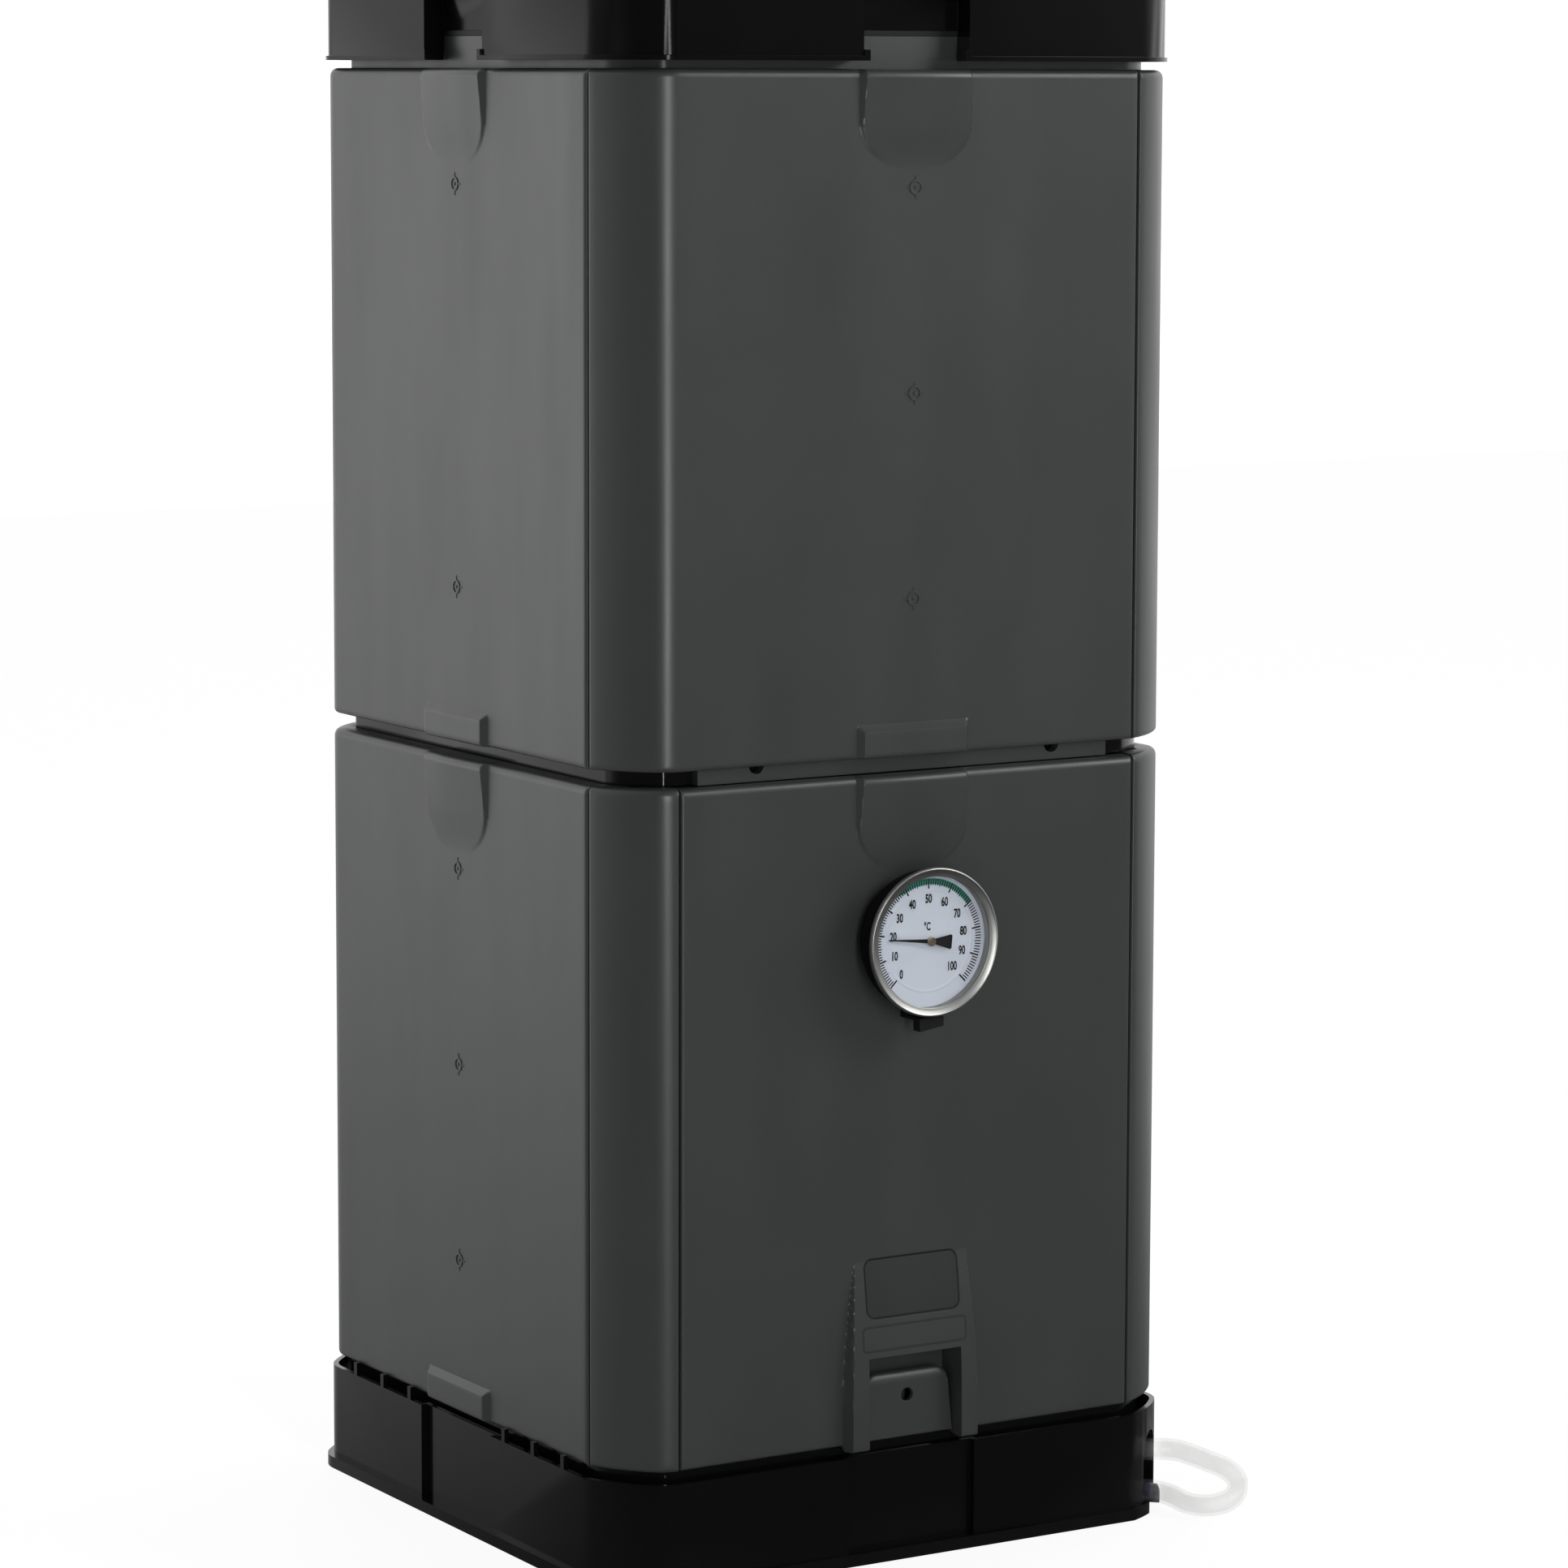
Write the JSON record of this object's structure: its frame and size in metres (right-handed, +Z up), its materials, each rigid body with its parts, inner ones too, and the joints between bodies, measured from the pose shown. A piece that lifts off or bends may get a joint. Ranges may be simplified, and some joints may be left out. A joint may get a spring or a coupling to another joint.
{
  "type": "insulated compost bin",
  "caption": "Tall square insulated compost bin with a black base, grey double-walled panels, a lift-out door with a dial thermometer, a lift-off lid and a drain hose.",
  "frame": {"origin": "centre of the underside of the base, on the ground", "axes": "+X right seen from the front, -Y front with the door, +Z up"},
  "size_m": [0.5542, 0.549, 1.2],
  "materials": {
    "panel_plastic": "fine satin moulded grey plastic",
    "black_plastic": "half gloss moulded black plastic",
    "grey_plastic": "plain recycled grey plastic",
    "foam": null,
    "blue_plastic": "dark navy barbed fitting",
    "black_rubber": "plain black rubber",
    "clear_hose": "clear soft vinyl tube",
    "steel": "spun stainless steel",
    "black_steel": "black painted sheet steel",
    "gauge_glass": "clear flat glass",
    "dial_white": "white printed aluminium with a plain number scale",
    "brass": "turned brass",
    "needle_black": "black painted sheet"
  },
  "bodies": {
    "bin": {"base_tray": "black_plastic", "grate_bars": "grey_plastic", "grate_bearers": "grey_plastic", "core_foot": "black_plastic", "aeration_core": "black_plastic", "core_cap": "black_plastic", "drain_outlet": "blue_plastic", "drain_seal": "black_rubber", "drain_nut": "black_plastic", "hose_holder": "blue_plastic", "drain_hose": "clear_hose", "lower_left_shell": "panel_plastic", "lower_left_foam": "foam", "lower_left_liner": "grey_plastic", "lower_back_shell": "panel_plastic", "lower_back_foam": "foam", "lower_back_liner": "grey_plastic", "lower_right_shell": "panel_plastic", "lower_right_foam": "foam", "lower_right_liner": "grey_plastic", "post_shell": "panel_plastic", "post_foam": "foam", "post_liner": "grey_plastic", "lower_seam_keys": "grey_plastic", "tier_ring": "black_plastic", "door_lintel": "panel_plastic", "upper_front_shell": "panel_plastic", "upper_front_foam": "foam", "upper_front_liner": "grey_plastic", "upper_right_shell": "panel_plastic", "upper_right_foam": "foam", "upper_right_liner": "grey_plastic", "upper_back_shell": "panel_plastic", "upper_back_foam": "foam", "upper_back_liner": "grey_plastic", "upper_left_shell": "panel_plastic", "upper_left_foam": "foam", "upper_left_liner": "grey_plastic", "upper_seam_keys": "grey_plastic", "neck_ring": "panel_plastic"},
    "door": {"door_shell": "panel_plastic", "door_foam": "foam", "door_liner": "grey_plastic", "handle_surround": "panel_plastic", "lock_tongue": "panel_plastic", "gauge_holder": "black_rubber", "gauge_bush": "black_rubber"},
    "gauge": {"gauge_case": "black_steel", "gauge_bezel": "steel", "gauge_glass": "gauge_glass", "gauge_dial": "dial_white", "gauge_stem": "steel", "bimetal_coil": "brass"},
    "pointer": {"needle": "needle_black", "needle_hub": "brass", "needle_shaft": "brass"},
    "lid": {"lid_shell": "black_plastic", "lid_foam": "foam", "lid_liner": "grey_plastic", "lid_seal": "black_rubber"}
  },
  "joints": [
    {"name": "lid_lift", "type": "slide", "parent": "bin", "child": "lid", "axis": [0, 0, 1], "range_m": [0, 0.12]},
    {"name": "door_pull", "type": "slide", "parent": "bin", "child": "door", "axis": [0, -1, 0], "range_m": [0, 0.3]},
    {"name": "gauge_pull", "type": "slide", "parent": "door", "child": "gauge", "axis": [0, -1, 0], "range_m": [0, 0.2]},
    {"name": "pointer_turn", "type": "hinge", "parent": "gauge", "child": "pointer", "pos_m": [0, -0.2748, 0.472], "axis": [0, 1, 0], "range_deg": [-50.5, 219.5], "stiffness_Nm_per_rad": 0.0002}
  ]
}
